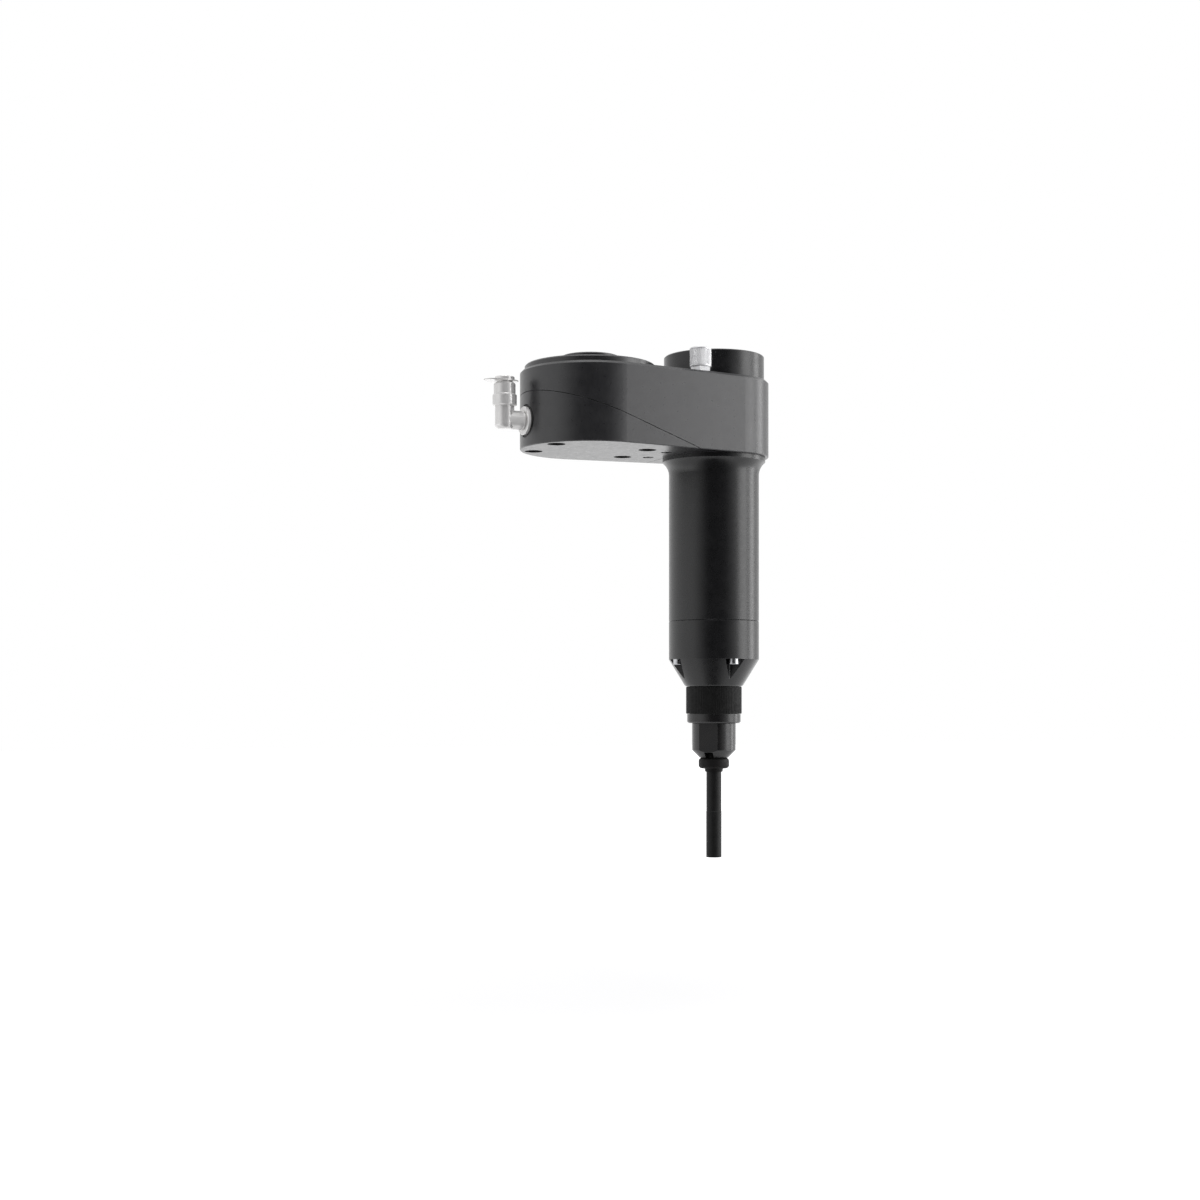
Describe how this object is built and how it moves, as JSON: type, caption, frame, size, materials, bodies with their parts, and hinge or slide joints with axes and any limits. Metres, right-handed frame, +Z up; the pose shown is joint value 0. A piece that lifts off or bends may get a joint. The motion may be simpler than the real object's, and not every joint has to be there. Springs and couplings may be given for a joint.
{
  "type": "robot screwdriving spindle",
  "caption": "Offset arm that bolts under a robot flange and carries an electric screwdriving spindle with a sprung vacuum sleeve, air fitting and connector.",
  "frame": {"origin": "centre of the coupling's face that meets the robot flange", "axes": "+Z up towards the robot, +X along the arm from the coupling to the spindle"},
  "size_m": [0.1657, 0.075, 0.2751],
  "materials": {
    "black_anodised": "satin black anodised",
    "black_steel": "black oxide",
    "collar_black": "matte black",
    "grip_rubber": "matte",
    "nickel": "bright nickel plate",
    "screw_steel": "zinc plated",
    "ground_steel": "ground",
    "spring_steel": "drawn wire",
    "core_steel": "laminated",
    "magnet": "plated",
    "copper": "enamelled wire",
    "bare_aluminium": "machined",
    "circuit_board": "solder mask",
    "component_black": "moulded",
    "insulator": "moulded",
    "seal_rubber": "matte",
    "air_hose": "polyurethane",
    "cable_jacket": "matte"
  },
  "bodies": {
    "arm": {"robot_adapter": "black_anodised", "locating_dowel": "screw_steel", "housing_screws": "screw_steel", "upper_housing": "black_anodised", "lower_cover": "black_anodised", "cover_gasket": "seal_rubber", "cover_screws": "screw_steel", "control_board": "circuit_board", "board_screws": "screw_steel", "board_components": "component_black", "air_hose": "air_hose", "hose_nipple": "nickel", "motor_cable": "cable_jacket", "power_cable": "cable_jacket", "fitting_stem": "nickel", "fitting_gasket": "seal_rubber", "connector_shell": "nickel", "connector_insert": "insulator", "spindle_tube": "black_anodised", "top_cap": "black_anodised", "cap_screws": "screw_steel", "encoder_board": "circuit_board", "clamp_ring": "bare_aluminium", "upper_end_plate": "bare_aluminium", "stator_core": "core_steel", "stator_windings": "copper", "lower_end_plate": "bare_aluminium", "rotor_bearing_outer": "ground_steel", "bearing_balls": "ground_steel", "ring_gear": "ground_steel", "bearing_carrier": "bare_aluminium", "spindle_bearing_outer": "ground_steel", "shaft_seal": "seal_rubber", "nose_housing": "black_anodised", "nose_screws": "screw_steel", "nose_adapter": "black_steel", "bayonet_pins": "screw_steel", "nose_body": "black_steel", "sleeve_grip": "grip_rubber", "sleeve_spring": "spring_steel"},
    "rotor": {"rotor_shaft": "ground_steel", "sun_gear": "ground_steel", "rotor_magnets": "magnet", "encoder_magnet": "magnet", "rotor_bearing_inner": "ground_steel"},
    "spindle": {"spindle_shaft": "ground_steel", "planet_pins": "ground_steel", "spindle_bearing_inner": "ground_steel", "bit_chuck": "ground_steel", "driver_bit": "ground_steel", "chuck_spring": "spring_steel"},
    "planet_1": {"planet_gear_1": "ground_steel"},
    "planet_2": {"planet_gear_2": "ground_steel"},
    "planet_3": {"planet_gear_3": "ground_steel"},
    "bit_release": {"chuck_sleeve": "ground_steel"},
    "collar": {"lock_collar": "collar_black"},
    "sleeve": {"vacuum_sleeve": "black_steel"},
    "elbow": {"elbow_body": "nickel"},
    "tube_release": {"release_ring": "nickel"},
    "plug_nut": {"connector_ring": "nickel"}
  },
  "joints": [
    {"name": "spindle_turn", "type": "hinge", "parent": "arm", "child": "spindle", "pos_m": [0.075, 0, -0.13], "axis": [0, 0, 1], "continuous": true},
    {"name": "rotor_turn", "type": "hinge", "parent": "arm", "child": "rotor", "pos_m": [0.075, 0, -0.067], "axis": [0, 0, 1], "continuous": true},
    {"name": "planet_1_turn", "type": "hinge", "parent": "spindle", "child": "planet_1", "pos_m": [0.087, 0, -0.103], "axis": [0, 0, 1], "continuous": true},
    {"name": "planet_2_turn", "type": "hinge", "parent": "spindle", "child": "planet_2", "pos_m": [0.069, 0.01039, -0.103], "axis": [0, 0, 1], "continuous": true},
    {"name": "planet_3_turn", "type": "hinge", "parent": "spindle", "child": "planet_3", "pos_m": [0.069, -0.01039, -0.103], "axis": [0, 0, 1], "continuous": true},
    {"name": "sleeve_slide", "type": "slide", "parent": "arm", "child": "sleeve", "axis": [0, 0, 1], "range_m": [0, 0.012], "stiffness_N_per_m": 250, "springref_m": -0.01, "deforming": ["sleeve_spring"]},
    {"name": "bit_release_slide", "type": "slide", "parent": "spindle", "child": "bit_release", "axis": [0, 0, -1], "range_m": [0, 0.0025], "stiffness_N_per_m": 600, "springref_m": -0.006, "deforming": ["chuck_spring"]},
    {"name": "collar_twist", "type": "hinge", "parent": "arm", "child": "collar", "pos_m": [0.075, 0, -0.178], "axis": [0, 0, 1], "range_deg": [-90, 0]},
    {"name": "elbow_swivel", "type": "hinge", "parent": "arm", "child": "elbow", "pos_m": [-0.045, 0, -0.0315], "axis": [1, 0, 0], "continuous": true},
    {"name": "tube_release_press", "type": "slide", "parent": "elbow", "child": "tube_release", "axis": [0, 0, -1], "range_m": [0, 0.0008], "stiffness_N_per_m": 1200, "springref_m": -0.001},
    {"name": "plug_nut_turn", "type": "hinge", "parent": "arm", "child": "plug_nut", "pos_m": [0.0528, -0.026, 0.005], "axis": [0, 0, 1], "continuous": true}
  ],
  "couplings": [
    {"joint": "rotor_turn", "follows": "spindle_turn", "ratio": 4},
    {"joint": "planet_1_turn", "follows": "spindle_turn", "ratio": -3},
    {"joint": "planet_2_turn", "follows": "spindle_turn", "ratio": -3},
    {"joint": "planet_3_turn", "follows": "spindle_turn", "ratio": -3}
  ]
}
